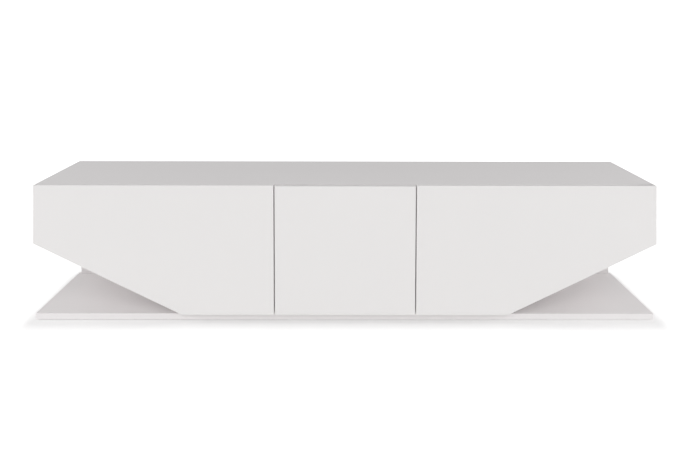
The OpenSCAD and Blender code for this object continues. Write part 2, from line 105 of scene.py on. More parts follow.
def softbox(name, place, aim, width, height, power):
    data = bpy.data.lights.new(name, "AREA")
    data.shape = "RECTANGLE"
    data.size = width
    data.size_y = height
    data.energy = power
    lamp = bpy.data.objects.new(name, data)
    lamp.location = place
    lamp.rotation_euler = (Vector(aim) - Vector(place)).to_track_quat("-Z", "Y").to_euler()
    bpy.context.scene.collection.objects.link(lamp)


softbox(
    "front_light", place=(0.0, -3.6, 2.2), aim=(0.0, 0.0, 0.2), width=4.0, height=0.8, power=32.0,
)
for side, sense in (("left", -1), ("right", 1)):
    softbox(
        f"{side}_light", place=(sense * 3.0, -0.5, 1.1), aim=(sense * 0.75, 0.0, 0.02),
        width=1.4, height=1.0, power=17.1,
    )

floor_width = 12.0
bpy.ops.mesh.primitive_plane_add(size=floor_width, location=(0.0, 0.0, 0.0))
floor = bpy.context.object
floor.name = "studio_floor"
floor_paint = bpy.data.materials.new("studio_floor")
floor_paint.use_nodes = True
floor_tree = floor_paint.node_tree
floor_shader = floor_tree.nodes["Principled BSDF"]
floor_shader.inputs["Base Color"].default_value = (0.92, 0.92, 0.92, 1.0)
floor_shader.inputs["Roughness"].default_value = 0.7
floor_shader.inputs["Emission Color"].default_value = (1.0, 1.0, 1.0, 1.0)


def floor_value(kind, *inputs):
    """One more step of arithmetic on the floor's own coordinates."""
    node = floor_tree.nodes.new("ShaderNodeMath")
    node.operation = kind
    for socket, given in zip(node.inputs, inputs):
        if isinstance(given, float):
            socket.default_value = given
        else:
            floor_tree.links.new(given, socket)
    return node.outputs[0]


def floor_ramp(value, start, end, low, high):
    ramp = floor_tree.nodes.new("ShaderNodeMapRange")
    ramp.interpolation_type = "SMOOTHSTEP"
    for socket, given in zip(ramp.inputs[1:5], (start, end, low, high)):
        socket.default_value = given
    floor_tree.links.new(value, ramp.inputs["Value"])
    return ramp.outputs["Result"]


# The floor shines evenly on the stand. As the camera sees it, its glow is turned down close around
# the floor plate as a painted shadow, and is brighter far away, where the lights no longer reach it.
# The painted shadow fades faster past the ends of the plate than in front of it.
even_glow = 0.245
painted_shadow_glow = 0.09
open_glow = 0.46
far_glow = 0.5
painted_shadow_reach = 0.17
light_reach = 2.2
end_fading = 3.0
front_fading = 1.0
half_plate = (cad_box[1][0], -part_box("base_panel")[0].y)
floor_place = floor_tree.nodes.new("ShaderNodeTexCoord")
floor_axes = floor_tree.nodes.new("ShaderNodeSeparateXYZ")
floor_tree.links.new(floor_place.outputs["Object"], floor_axes.inputs[0])
squares = []
for axis, reach, fading in zip("XY", half_plate, (end_fading, front_fading)):
    span = floor_value("ABSOLUTE", floor_axes.outputs[axis])
    beyond = floor_value("MAXIMUM", floor_value("SUBTRACT", span, reach), 0.0)
    beyond = floor_value("MULTIPLY", beyond, fading)
    squares.append(floor_value("MULTIPLY", beyond, beyond))
distance = floor_value("SQRT", floor_value("ADD", *squares))
seen_glow_with_painted_shadow = floor_value(
    "ADD", floor_ramp(distance, 0.0, painted_shadow_reach, painted_shadow_glow, open_glow),
    floor_ramp(distance, painted_shadow_reach, light_reach, 0.0, far_glow),
)
# Camera rays see the glow with the painted shadow in it; all other rays get the even glow.
floor_ray = floor_tree.nodes.new("ShaderNodeLightPath")
glow = floor_tree.nodes.new("ShaderNodeMix")
floor_tree.links.new(floor_ray.outputs["Is Camera Ray"], glow.inputs[0])
glow.inputs[2].default_value = even_glow
floor_tree.links.new(seen_glow_with_painted_shadow, glow.inputs[3])
floor_tree.links.new(glow.outputs[0], floor_shader.inputs["Emission Strength"])
floor.data.materials.append(floor_paint)

# --- floor plate -----------------------------------------------------------------------------
# The flat plate that the body stands on: 18 mm fibreboard, sprayed with matt off-white lacquer.
# Its edges are sanded round, and six countersunk screws hold it to the bottom board from below.


def select_only(piece):
    bpy.ops.object.select_all(action="DESELECT")
    piece.select_set(True)
    bpy.context.view_layer.objects.active = piece


def take_new(name):
    """Names the object just added and puts its place, turn and size into its mesh."""
    piece = bpy.context.object
    piece.name = name
    piece.data.name = name
    select_only(piece)
    bpy.ops.object.transform_apply(location=True, rotation=True, scale=True)
    return piece


def sawn_board(name, outline, front, back):
    """A board sawn out of a larger blank to its outline in X and Z, counter-clockwise."""
    across = [x for x, z in outline]
    up = [z for x, z in outline]
    waste = 0.01
    size = (
        max(across) - min(across) + 2 * waste, back - front, max(up) - min(up) + 2 * waste,
    )
    centre = ((max(across) + min(across)) / 2, (front + back) / 2, (max(up) + min(up)) / 2)
    bpy.ops.object.select_all(action="DESELECT")
    bpy.ops.mesh.primitive_cube_add(size=1.0, location=centre, scale=size)
    piece = take_new(name)
    bpy.ops.object.mode_set(mode="EDIT")
    for (x0, z0), (x1, z1) in zip(outline, outline[1:] + outline[:1]):
        bpy.ops.mesh.select_all(action="SELECT")
        bpy.ops.mesh.bisect(
            plane_co=(x0, 0.0, z0), plane_no=(z1 - z0, 0.0, x0 - x1),
            use_fill=True, clear_outer=True,
        )
    bpy.ops.mesh.select_all(action="SELECT")
    bpy.ops.mesh.normals_make_consistent(inside=False)
    bpy.ops.object.mode_set(mode="OBJECT")
    return piece


def rectangle(x0, x1, z0, z1):
    return [(x0, z0), (x1, z0), (x1, z1), (x0, z1)]


def plain_board(name, node):
    """A square-cut board that fills its node's box."""
    low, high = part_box(node)
    return sawn_board(name, rectangle(low.x, high.x, low.z, high.z), low.y, high.y)


def cut_away(piece, tool):
    """Takes the tool's shape out of the piece, and removes the tool."""
    cut = piece.modifiers.new("cut", "BOOLEAN")
    cut.operation = "DIFFERENCE"
    cut.solver = "EXACT"
    cut.object = tool
    select_only(piece)
    bpy.ops.object.modifier_apply(modifier=cut.name)
    bpy.data.objects.remove(tool)


def drill(piece, holes, sides=48):
    """Drills round holes, each given as its mouth, its end and its radius."""
    bits = []
    for mouth, end, radius in holes:
        run = Vector(end) - Vector(mouth)
        bpy.ops.object.select_all(action="DESELECT")
        bpy.ops.mesh.primitive_cylinder_add(
            vertices=sides, radius=radius, depth=run.length,
            location=(Vector(mouth) + Vector(end)) / 2,
            rotation=run.to_track_quat("Z", "Y").to_euler(),
        )
        bits.append(take_new("drill_bit"))
    bpy.ops.object.select_all(action="DESELECT")
    for bit in bits:
        bit.select_set(True)
    bpy.context.view_layer.objects.active = bits[0]
    if len(bits) > 1:
        bpy.ops.object.join()
    cut_away(piece, bits[0])


def shade(piece):
    """Shades the flats flat and the roundings smooth."""
    select_only(piece)
    bpy.ops.object.shade_smooth_by_angle(angle=math.radians(35))
    flats = piece.modifiers.new("flats", "WEIGHTED_NORMAL")
    flats.keep_sharp = True
    bpy.ops.object.modifier_apply(modifier=flats.name)


def ease_edges(piece, radius, steps=3):
    """Rounds the square edges. The acute ones are mitres, which stay sharp and are glued."""
    gentlest, sharpest = 40, 110
    normals = {}
    for face in piece.data.polygons:
        for key in face.edge_keys:
            normals.setdefault(key, []).append(face.normal)
    weights = piece.data.attributes.new("bevel_weight_edge", "FLOAT", "EDGE")
    for edge in piece.data.edges:
        sides = normals[edge.key]
        turning = math.degrees(sides[0].angle(sides[1])) if len(sides) == 2 else 0.0
        weights.data[edge.index].value = 1.0 if gentlest < turning < sharpest else 0.0
    rounding = piece.modifiers.new("rounding", "BEVEL")
    rounding.width = radius
    rounding.segments = steps
    rounding.limit_method = "WEIGHT"
    select_only(piece)
    bpy.ops.object.modifier_apply(modifier=rounding.name)
    piece.data.attributes.remove(piece.data.attributes["bevel_weight_edge"])
    shade(piece)


def solids(node):
    """The boxes of a CAD node's separate solids, in order of place."""
    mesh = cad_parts[node].data
    leader = {}

    def lead(key):
        while leader[key] != key:
            leader[key] = leader[leader[key]]
            key = leader[key]
        return key

    spots = [tuple(round(c, 5) for c in v.co) for v in mesh.vertices]
    for spot in spots:
        leader[spot] = spot
    for face in mesh.polygons:
        first, *others = (spots[i] for i in face.vertices)
        for other in others:
            leader[lead(other)] = lead(first)
    groups = {}
    for spot in spots:
        groups.setdefault(lead(spot), []).append(spot)
    boxes = [
        (Vector(map(min, *points)), Vector(map(max, *points))) for points in groups.values()
    ]
    return sorted(boxes, key=lambda box: tuple(round(c, 4) for c in (*box[0],)))


def middle(box):
    return (box[0] + box[1]) / 2


def extent(box, axis):
    """The length of a box along the named axis."""
    return getattr(box[1], axis) - getattr(box[0], axis)


def surface_group():
    """Slow clouds of tone and fine grain over any finish: colour, roughness and height."""
    group = bpy.data.node_groups.new("surface", "ShaderNodeTree")
    sockets = (
        ("Place", "NodeSocketVector"), ("Colour", "NodeSocketColor"), ("Shade", "NodeSocketColor"),
        ("Cloud", "NodeSocketFloat"), ("Grain", "NodeSocketFloat"),
        ("Smooth", "NodeSocketFloat"), ("Rough", "NodeSocketFloat"),
    )
    for name, kind in sockets:
        group.interface.new_socket(name, in_out="INPUT", socket_type=kind)
    group.interface.new_socket("Colour", in_out="OUTPUT", socket_type="NodeSocketColor")
    group.interface.new_socket("Roughness", in_out="OUTPUT", socket_type="NodeSocketFloat")
    group.interface.new_socket("Height", in_out="OUTPUT", socket_type="NodeSocketFloat")
    given = group.nodes.new("NodeGroupInput")
    made = group.nodes.new("NodeGroupOutput")
    cloud = group.nodes.new("ShaderNodeTexNoise")
    cloud.inputs["Detail"].default_value = 3.0
    grain = group.nodes.new("ShaderNodeTexNoise")
    grain.inputs["Detail"].default_value = 4.0
    tone = group.nodes.new("ShaderNodeMix")
    tone.data_type = "RGBA"
    gloss = group.nodes.new("ShaderNodeMapRange")
    gloss.inputs["From Min"].default_value = 0.3
    gloss.inputs["From Max"].default_value = 0.7
    link = group.links.new
    link(given.outputs["Place"], cloud.inputs["Vector"])
    link(given.outputs["Place"], grain.inputs["Vector"])
    link(given.outputs["Cloud"], cloud.inputs["Scale"])
    link(given.outputs["Grain"], grain.inputs["Scale"])
    link(cloud.outputs["Fac"], tone.inputs[0])
    link(given.outputs["Colour"], tone.inputs[6])
    link(given.outputs["Shade"], tone.inputs[7])
    link(grain.outputs["Fac"], gloss.inputs["Value"])
    link(given.outputs["Smooth"], gloss.inputs["To Min"])
    link(given.outputs["Rough"], gloss.inputs["To Max"])
    link(tone.outputs[2], made.inputs["Colour"])
    link(gloss.outputs["Result"], made.inputs["Roughness"])
    link(grain.outputs["Fac"], made.inputs["Height"])
    return group


surface = surface_group()


def finish(
    name, colour, cloud_colour, cloud, grain, gloss, relief, metallic=0.0, stretch=(1, 1, 1),
):
    """A finish with clouds and grain per metre, a roughness range and a relief in metres."""
    material = bpy.data.materials.new(name)
    material.use_nodes = True
    tree = material.node_tree
    shader = tree.nodes["Principled BSDF"]
    shader.inputs["Metallic"].default_value = metallic
    where = tree.nodes.new("ShaderNodeTexCoord")
    spread = tree.nodes.new("ShaderNodeMapping")
    spread.inputs["Scale"].default_value = stretch
    layer = tree.nodes.new("ShaderNodeGroup")
    layer.node_tree = surface
    layer.inputs["Colour"].default_value = (*colour, 1.0)
    layer.inputs["Shade"].default_value = (*cloud_colour, 1.0)
    layer.inputs["Cloud"].default_value = cloud
    layer.inputs["Grain"].default_value = grain
    layer.inputs["Smooth"].default_value = gloss[0]
    layer.inputs["Rough"].default_value = gloss[1]
    bump = tree.nodes.new("ShaderNodeBump")
    bump.inputs["Distance"].default_value = relief
    link = tree.links.new
    link(where.outputs["Object"], spread.inputs["Vector"])
    link(spread.outputs["Vector"], layer.inputs["Place"])
    link(layer.outputs["Colour"], shader.inputs["Base Color"])
    link(layer.outputs["Roughness"], shader.inputs["Roughness"])
    link(layer.outputs["Height"], bump.inputs["Height"])
    link(bump.outputs["Normal"], shader.inputs["Normal"])
    return material


def fit(piece, material, body, slot, *nodes):
    """Gives a finished piece its material and its body, and hides the CAD nodes it stands for."""
    piece.data.materials.clear()
    piece.data.materials.append(material)
    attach(piece, body)
    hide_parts(*nodes)


# Saws and drills start this far outside the board.
past = 0.001
edge_round = 0.0008
carcass_lacquer = finish(
    "carcass_lacquer", (0.862, 0.838, 0.838), (0.842, 0.818, 0.818),
    cloud=2.5, grain=900.0, gloss=(0.40, 0.50), relief=0.000012,
)
plate_low, plate_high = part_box("base_panel")
floor_plate = plain_board("floor_plate", "base_panel")
plate_holes = []
for box in solids("base_screws"):
    spot = middle(box)
    plate_holes.append((
        (spot.x, spot.y, box[0].z - past), (spot.x, spot.y, plate_high.z + past),
        extent(box, "x") / 2,
    ))
drill(floor_plate, plate_holes)
ease_edges(floor_plate, edge_round)
fit(floor_plate, carcass_lacquer, "cabinet", "carcass_lacquer", "base_panel")

# --- felt pads -------------------------------------------------------------------------------
# Eight round pads of needled felt, 2 mm thick, stuck under the floor plate. They are punched
# out of a sheet, so the lower rim is a little rounded by wear.


def turn(name, profile, sides=32, closed=False):
    """A turned shape about Z, from a profile of radius and height; closed where it is a ring."""
    (radius, height), *rest = profile
    bpy.ops.object.select_all(action="DESELECT")
    bpy.ops.mesh.primitive_circle_add(
        vertices=sides, radius=radius, fill_type="NOTHING" if closed else "NGON",
        location=(0.0, 0.0, height),
    )
    piece = take_new(name)
    bpy.ops.object.mode_set(mode="EDIT")
    bpy.ops.mesh.select_all(action="SELECT")
    for next_radius, next_height in rest:
        bpy.ops.mesh.extrude_region_move(
            TRANSFORM_OT_translate={"value": (0.0, 0.0, next_height - height)}
        )
        scale = next_radius / radius
        bpy.ops.transform.resize(
            value=(scale, scale, 1.0), center_override=(0.0, 0.0, next_height)
        )
        radius, height = next_radius, next_height
    bpy.ops.mesh.select_all(action="SELECT")
    bpy.ops.mesh.remove_doubles(threshold=1e-6)
    bpy.ops.mesh.normals_make_consistent(inside=False)
    bpy.ops.object.mode_set(mode="OBJECT")
    return piece


def aimed(place, along):
    """The place of a turned piece whose own Z axis runs along the given way."""
    return Matrix.Translation(place) @ Vector(along).to_track_quat("Z", "Y").to_matrix().to_4x4()


def from_end(box, along):
    """The place of a piece that starts at one end of its box and runs along the given way."""
    start = middle(box)
    for axis, way in enumerate(along):
        if way:
            start[axis] = box[0][axis] if way > 0 else box[1][axis]
    return aimed(start, along)


def copies(pattern, places, material, body, slot, node):
    """Copies the pattern to each place, each copy with its own mesh, and removes the pattern."""
    for number, place in enumerate(places, 1):
        piece = pattern.copy()
        piece.data = pattern.data.copy()
        piece.name = f"{pattern.name}_{number}"
        piece.data.name = piece.name
        bpy.context.scene.collection.objects.link(piece)
        piece.data.transform(place)
        shade(piece)
        fit(piece, material, body, slot, node)
    bpy.data.objects.remove(pattern)


felt = finish(
    "felt", (0.115, 0.108, 0.105), (0.19, 0.18, 0.175),
    cloud=420.0, grain=2600.0, gloss=(0.88, 0.98), relief=0.00025,
)
upward = (0, 0, 1)
pads = solids("base_glides")
pad_radius = extent(pads[0], "x") / 2
pad_height = plate_low.z
pad_rim = 0.0005
pad = turn(
    "felt_pad",
    [
        (pad_radius - pad_rim, 0.0), (pad_radius - 0.3 * pad_rim, 0.3 * pad_rim),
        (pad_radius, pad_rim), (pad_radius, pad_height),
    ],
    sides=48,
)
copies(pad, [from_end(box, upward) for box in pads], felt, "cabinet", "felt", "base_glides")

# --- floor plate screws ----------------------------------------------------------------------
# Six countersunk zinc-plated wood screws, 4 mm thick, driven up through the floor plate into the
# bottom board. Their heads have a cross recess and lie flush with the plate's underside.


def screw(name, head, crest, length):
    """A wood screw: head face at the origin, its shank along Z in ridges down to the point."""
    core = 0.72 * crest
    pitch = 0.9 * crest
    profile = list(head)
    height = head[-1][1]
    tip = length - 1.6 * crest
    while height + pitch < tip:
        profile += [(core, height + 0.3 * pitch), (crest, height + 0.6 * pitch)]
        height += pitch
    profile += [(core, tip), (0.25 * core, length)]
    return turn(name, profile, sides=20)


def cross_recess(piece, across, depth):
    """Presses a cross that narrows inwards into a screw's head face."""
    wide = 0.24 * across
    for length, width in ((across, wide), (wide, across)):
        bpy.ops.object.select_all(action="DESELECT")
        bpy.ops.mesh.primitive_cube_add(size=1.0, scale=(length, width, 2 * depth))
        tool = take_new("recess_punch")
        for corner_point in tool.data.vertices:
            corner_point.select = corner_point.co.z > 0
        bpy.ops.object.mode_set(mode="EDIT")
        bpy.ops.mesh.select_mode(type="VERT")
        bpy.ops.transform.resize(value=(0.55, 0.55, 1.0), center_override=(0.0, 0.0, depth))
        bpy.ops.object.mode_set(mode="OBJECT")
        cut_away(piece, tool)


zinc = finish(
    "zinc", (0.74, 0.75, 0.77), (0.62, 0.64, 0.68),
    cloud=90.0, grain=2600.0, gloss=(0.26, 0.38), relief=0.000010, metallic=1.0,
)
sunk_radius = 0.004
sunk_depth = 0.0023
shank_radius = 0.002
sunk_bevel = 0.0002
sunk_recess = 0.0018
sunk_head = [(0.92 * sunk_radius, 0.0), (sunk_radius, sunk_bevel), (shank_radius, sunk_depth)]


def sunk_screw(name, length):
    piece = screw(name, sunk_head, shank_radius, length)
    cross_recess(piece, across=1.15 * sunk_radius, depth=sunk_recess)
    return piece


plate_screws = solids("base_screws")
copies(
    sunk_screw("floor_plate_screw", extent(plate_screws[0], "z")),
    [from_end(box, upward) for box in plate_screws],
    zinc, "cabinet", "zinc", "base_screws",
)

# --- folded body -----------------------------------------------------------------------------
# Six boards mitred round in a ring: bottom, two slants, two side walls and the top. Each is
# 18 mm fibreboard in the same lacquer, glued at the mitres. The top reaches back over the back board.

bottom_low, bottom_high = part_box("bottom_panel")
wall_low, wall_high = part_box("right_side_panel")
top_low, top_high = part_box("top_panel")
board = bottom_high.z - bottom_low.z
foot = (bottom_high.x, bottom_low.z)
corner = (wall_high.x, wall_low.z)
wall_slope = (corner[0] - top_high.x) / (top_low.z - corner[1])


def wall_x(z):
    return corner[0] - wall_slope * (z - corner[1])


summit = (wall_x(top_high.z), top_high.z)
rear_edge = (wall_x(top_low.z), top_low.z)


def flipped(point):
    return (-point[0], point[1])


def flipped_outline(outline):
    return [flipped(point) for point in reversed(outline)]


def mitre(before, at, after):
    """The inner corner where two boards of the ring meet."""
    first = Vector((at[0] - before[0], at[1] - before[1])).normalized()
    second = Vector((after[0] - at[0], after[1] - at[1])).normalized()
    inward = Vector((-first.y - second.y, first.x + second.x))
    reach = board / (1 + first.dot(second))
    return (at[0] + inward.x * reach, at[1] + inward.y * reach)


foot_inside = mitre(flipped(foot), foot, corner)
corner_inside = mitre(foot, corner, summit)
summit_inside = mitre(corner, summit, flipped(summit))

bottom_board = sawn_board(
    "bottom_board", [flipped(foot), foot, foot_inside, flipped(foot_inside)],
    bottom_low.y, bottom_high.y,
)
ease_edges(bottom_board, edge_round / 2)
fit(bottom_board, carcass_lacquer, "cabinet", "carcass_lacquer", "bottom_panel")

top_board = sawn_board(
    "top_board", [flipped(rear_edge), rear_edge, summit, flipped(summit)], top_low.y, top_high.y,
)
# The saw runs on past both ends of the mitre, by an eighth of its length.
mitre_line = (Vector(summit) - Vector(summit_inside)) / 8
mitre_waste = [
    tuple(Vector(summit_inside) - mitre_line), (rear_edge[0] + board, rear_edge[1] - past),
    tuple(Vector(summit) + mitre_line),
]
for waste in (mitre_waste, flipped_outline(mitre_waste)):
    cut_away(top_board, sawn_board("mitre_saw", waste, top_low.y - past, wall_high.y))
ease_edges(top_board, edge_round)
# Where the rounding of its rear corners stands proud of the top, it is planed level again.
bpy.ops.object.mode_set(mode="EDIT")
bpy.ops.mesh.select_mode(type="VERT")
bpy.ops.mesh.select_all(action="DESELECT")
bpy.ops.object.mode_set(mode="OBJECT")
for corner_point in top_board.data.vertices:
    corner_point.select = corner_point.co.z > top_high.z
bpy.ops.object.mode_set(mode="EDIT")
bpy.ops.transform.resize(value=(1.0, 1.0, 0.0), center_override=(0.0, 0.0, top_high.z))
bpy.ops.object.mode_set(mode="OBJECT")
fit(top_board, carcass_lacquer, "cabinet", "carcass_lacquer", "top_panel")

wall_outline = [corner, summit, summit_inside, corner_inside]
slant_outline = [foot, corner, corner_inside, foot_inside]
for side, turned in (("left", True), ("right", False)):
    for kind, outline in (("side", wall_outline), ("slant", slant_outline)):
        shape = flipped_outline(outline) if turned else outline
        piece = sawn_board(f"{side}_{kind}_board", shape, wall_low.y, wall_high.y)
        ease_edges(piece, edge_round / 2)
        fit(piece, carcass_lacquer, "cabinet", "carcass_lacquer", f"{side}_{kind}_panel")

# --- partitions ------------------------------------------------------------------------------
# Two upright 18 mm boards between the compartments. They are drilled for shelf pins in rows
# 32 mm apart, five on the middle side and three on the outer side, and for the cam housings.

pin_step = 0.032
outer_rows = range(3)
inner_rows = range(-2, 3)
pin_boxes = solids("shelf_pins")
pin_radius = extent(pin_boxes[0], "z") / 2
pin_reach = extent(pin_boxes[0], "x") / 2
cam_boxes = solids("cam_locks")
for side, sense in (("left", -1), ("right", 1)):
    low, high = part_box(f"{side}_partition")
    partition = plain_board(f"{side}_partition_board", f"{side}_partition")
    centre_x = (low.x + high.x) / 2
    holes = []
    for box in pin_boxes:
        spot = middle(box)
        face = low.x if abs(spot.x - low.x) < abs(spot.x - high.x) else high.x
        if abs(spot.x - face) < past:
            inward = math.copysign(1.0, centre_x - face)
            rows = outer_rows if face * sense > centre_x * sense else inner_rows
            for row in rows:
                z = spot.z + row * pin_step
                holes.append((
                    (face - inward * past, spot.y, z), (face + inward * pin_reach, spot.y, z),
                    pin_radius,
                ))
    for box in cam_boxes:
        spot = middle(box)
        if spot.x * sense > 0:
            outer, deep = (high.x, box[0].x) if sense > 0 else (low.x, box[1].x)
            holes.append((
                (outer + sense * past, spot.y, spot.z), (deep, spot.y, spot.z),
                extent(box, "z") / 2,
            ))
    drill(partition, holes, sides=32)
    ease_edges(partition, edge_round / 2, steps=2)
    fit(partition, carcass_lacquer, "cabinet", "carcass_lacquer", f"{side}_partition")

# --- dowels ----------------------------------------------------------------------------------
# Beech dowels, 8 mm thick and 30 mm long, glued in where the partitions meet the bottom and top
# boards. They are fluted, so that air and spare glue can leave the hole, and their ends tapered.

beech = finish(
    "beech", (0.62, 0.42, 0.235), (0.47, 0.29, 0.15),
    cloud=260.0, grain=1500.0, gloss=(0.55, 0.70), relief=0.00006, stretch=(1.0, 1.0, 0.08),
)
dowel_boxes = solids("partition_dowels")
dowel_radius = extent(dowel_boxes[0], "x") / 2
dowel_length = extent(dowel_boxes[0], "z")
taper = 0.0008
flute_step = 4
flute_bottom = 0.9
bpy.ops.object.select_all(action="DESELECT")
bpy.ops.mesh.primitive_circle_add(vertices=40, radius=dowel_radius - taper, fill_type="NGON")
dowel = take_new("dowel")
for number, rim_point in enumerate(dowel.data.vertices):
    rim_point.select = number % flute_step == 0
bpy.ops.object.mode_set(mode="EDIT")
bpy.ops.mesh.select_mode(type="VERT")
bpy.ops.transform.resize(
    value=(flute_bottom, flute_bottom, 1.0), center_override=(0.0, 0.0, 0.0)
)
bpy.ops.mesh.select_all(action="SELECT")
swell = dowel_radius / (dowel_radius - taper)
for rise, scale in ((taper, swell), (dowel_length - 2 * taper, 1.0), (taper, 1 / swell)):
    bpy.ops.mesh.extrude_region_move(TRANSFORM_OT_translate={"value": (0.0, 0.0, rise)})
    bpy.ops.transform.resize(value=(scale, scale, 1.0), center_override=(0.0, 0.0, 0.0))
bpy.ops.mesh.select_all(action="SELECT")
bpy.ops.mesh.normals_make_consistent(inside=False)
bpy.ops.object.mode_set(mode="OBJECT")
copies(
    dowel,
    [Matrix.Translation((middle(box).x, middle(box).y, box[0].z)) for box in dowel_boxes],
    beech, "cabinet", "beech", "partition_dowels",
)

# --- cam locks and bolts ---------------------------------------------------------------------
# Eight die-cast cams, 15 mm wide, turned with a screwdriver in the partitions. Each pulls on the
# collar of a plated bolt that is screwed into the bottom or the top board.

cam_radius = extent(cam_boxes[0], "z") / 2
cam_depth = extent(cam_boxes[0], "x")
cam_rim = 0.0004
cam = turn(
    "cam_lock",
    [
        (cam_radius - 2 * cam_rim, 0.0), (cam_radius - cam_rim, cam_rim),
        (cam_radius - cam_rim, 0.35 * cam_depth), (0.72 * cam_radius, 0.4 * cam_depth),
        (0.72 * cam_radius, 0.72 * cam_depth), (cam_radius - cam_rim, 0.78 * cam_depth),
        (cam_radius, cam_depth - cam_rim), (cam_radius - cam_rim, cam_depth),
    ],
    sides=32,
)
cam_recess = 0.003
cam_places = []
for box in cam_boxes:
    inward = -1 if middle(box).x > 0 else 1
    cam_places.append(from_end(box, (inward, 0, 0)))
cross_recess(cam, across=0.9 * cam_radius, depth=cam_recess)
copies(cam, cam_places, zinc, "cabinet", "zinc", "cam_locks")

bolt_boxes = solids("cam_bolts")
bolt_radius = extent(bolt_boxes[0], "x") / 2
bolt_length = extent(bolt_boxes[0], "z")
bolt_thread = 0.010
bolt_ridges = 4
ridge_rise = 0.0006
under_collar = bolt_thread - 0.0004
collar_top = bolt_thread + 0.0015
neck_start = bolt_thread + 0.002
neck_end = bolt_length - 0.007
throat_start = bolt_length - 0.006
throat_end = bolt_length - 0.003
head_start = bolt_length - 0.002
head_rim = bolt_length - 0.0006
bolt_profile = [(0.3 * bolt_radius, 0.0)]
for ridge in range(bolt_ridges):
    height = (ridge + 0.4) * bolt_thread / bolt_ridges
    bolt_profile += [(0.7 * bolt_radius, height - ridge_rise), (bolt_radius, height)]
bolt_profile += [
    (0.75 * bolt_radius, under_collar), (bolt_radius, bolt_thread), (bolt_radius, collar_top),
    (0.62 * bolt_radius, neck_start), (0.62 * bolt_radius, neck_end),
    (0.45 * bolt_radius, throat_start), (0.45 * bolt_radius, throat_end),
    (0.9 * bolt_radius, head_start), (0.9 * bolt_radius, head_rim), (0.6 * bolt_radius, bolt_length),
]
board_middle = (bottom_high.z + top_low.z) / 2
bolt_places = []
for box in bolt_boxes:
    way = 1 if middle(box).z < board_middle else -1
    bolt_places.append(from_end(box, (0, 0, way)))
copies(
    turn("cam_bolt", bolt_profile, sides=20), bolt_places, zinc, "cabinet", "zinc", "cam_bolts",
)

# --- back ------------------------------------------------------------------------------------
# One full-width board that stands on the floor plate behind the ring, under the overhanging
# top. Screws hold it to the ring and the partitions, and it has three round cable holes.

back_low, back_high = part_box("back_panel")
back_board = plain_board("back_board", "back_panel")
cable_rings = solids("cable_grommets")
cable_hole_radius = 0.030
cable_holes = []
for box in cable_rings:
    spot = middle(box)
    cable_holes.append((
        (spot.x, back_low.y - past, spot.z), (spot.x, back_high.y + past, spot.z),
        cable_hole_radius,
    ))
drill(back_board, cable_holes, sides=96)
ease_edges(back_board, edge_round / 2)
fit(back_board, carcass_lacquer, "cabinet", "carcass_lacquer", "back_panel")

# --- back screws -----------------------------------------------------------------------------
# Ten countersunk wood screws, 40 mm long, through the back into the partitions, the side walls
# and the bottom board, with their heads flush with the back's outer face.

frontward = (0, -1, 0)
back_screws = solids("back_screws")
copies(
    sunk_screw("back_screw", extent(back_screws[0], "y")),
    [from_end(box, frontward) for box in back_screws],
    zinc, "cabinet", "zinc", "back_screws",
)

# --- cable grommets --------------------------------------------------------------------------
# Three moulded rings of grey plastic pushed into the cable holes from inside. Each has a thin
# rounded flange that lies on the board, and a sleeve as long as the board is thick.

grey_plastic = finish(
    "grey_plastic", (0.345, 0.345, 0.355), (0.315, 0.315, 0.325),
    cloud=60.0, grain=2200.0, gloss=(0.42, 0.54), relief=0.00004,
)
backward = (0, 1, 0)
flange_radius = extent(cable_rings[0], "z") / 2
flange_depth = back_low.y - cable_rings[0][0].y
ring_length = extent(cable_rings[0], "y")
sleeve_radius = 0.0299
sleeve_inside = 0.0274
lip = 0.0007
grommet = turn(
    "cable_grommet",
    [
        (sleeve_inside, lip), (sleeve_inside + 0.3 * lip, 0.3 * lip), (sleeve_inside + lip, 0.0),
        (flange_radius - 2 * lip, 0.0), (flange_radius - 0.5 * lip, 0.4 * lip),
        (flange_radius, 1.5 * lip), (flange_radius, flange_depth), (sleeve_radius, flange_depth),
        (sleeve_radius, ring_length - lip), (sleeve_radius - lip, ring_length),
        (sleeve_inside + 0.3 * lip, ring_length), (sleeve_inside, ring_length - 0.3 * lip),
        (sleeve_inside, lip),
    ],
    sides=72, closed=True,
)
copies(
    grommet, [from_end(box, backward) for box in cable_rings],
    grey_plastic, "cabinet", "grey_plastic", "cable_grommets",
)

# --- shelves ---------------------------------------------------------------------------------
# Three loose 18 mm shelves in the same lacquer, one in each compartment, with eased edges. They
# stop short of the doors, behind the hinge arms.

compartments = ("left", "centre", "right")
for side in compartments:
    shelf = plain_board(f"{side}_shelf_board", f"{side}_shelf")
    ease_edges(shelf, 1.5 * edge_round)
    fit(shelf, carcass_lacquer, "cabinet", "carcass_lacquer", f"{side}_shelf")

# --- shelf pins ------------------------------------------------------------------------------
# Four 5 mm plated steel pins under each shelf, half in the wall and half under the board, with
# rounded ends and a thin collar that stops them at the wall.

pin_end = 0.0006
collar = 0.0007
collar_bevel = 0.0001
pin = turn(
    "shelf_pin",
    [
        (pin_radius - pin_end, -pin_reach), (pin_radius, pin_end - pin_reach), (pin_radius, 0.0),
        (pin_radius + collar, collar_bevel), (pin_radius + collar, collar),
        (pin_radius, collar + collar_bevel),
        (pin_radius, pin_reach - pin_end), (pin_radius - 0.3 * pin_end, pin_reach - 0.3 * pin_end),
        (pin_radius - pin_end, pin_reach),
    ],
    sides=24,
)
partition_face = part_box("right_partition")[1].x
pin_places = []
for box in pin_boxes:
    spot = middle(box)
    into_middle = abs(spot.x) < partition_face - past or abs(spot.x) > partition_face + past
    way = math.copysign(-1.0 if into_middle else 1.0, spot.x)
    pin_places.append(aimed(spot, (way, 0, 0)))
copies(pin, pin_places, zinc, "cabinet", "zinc", "shelf_pins")
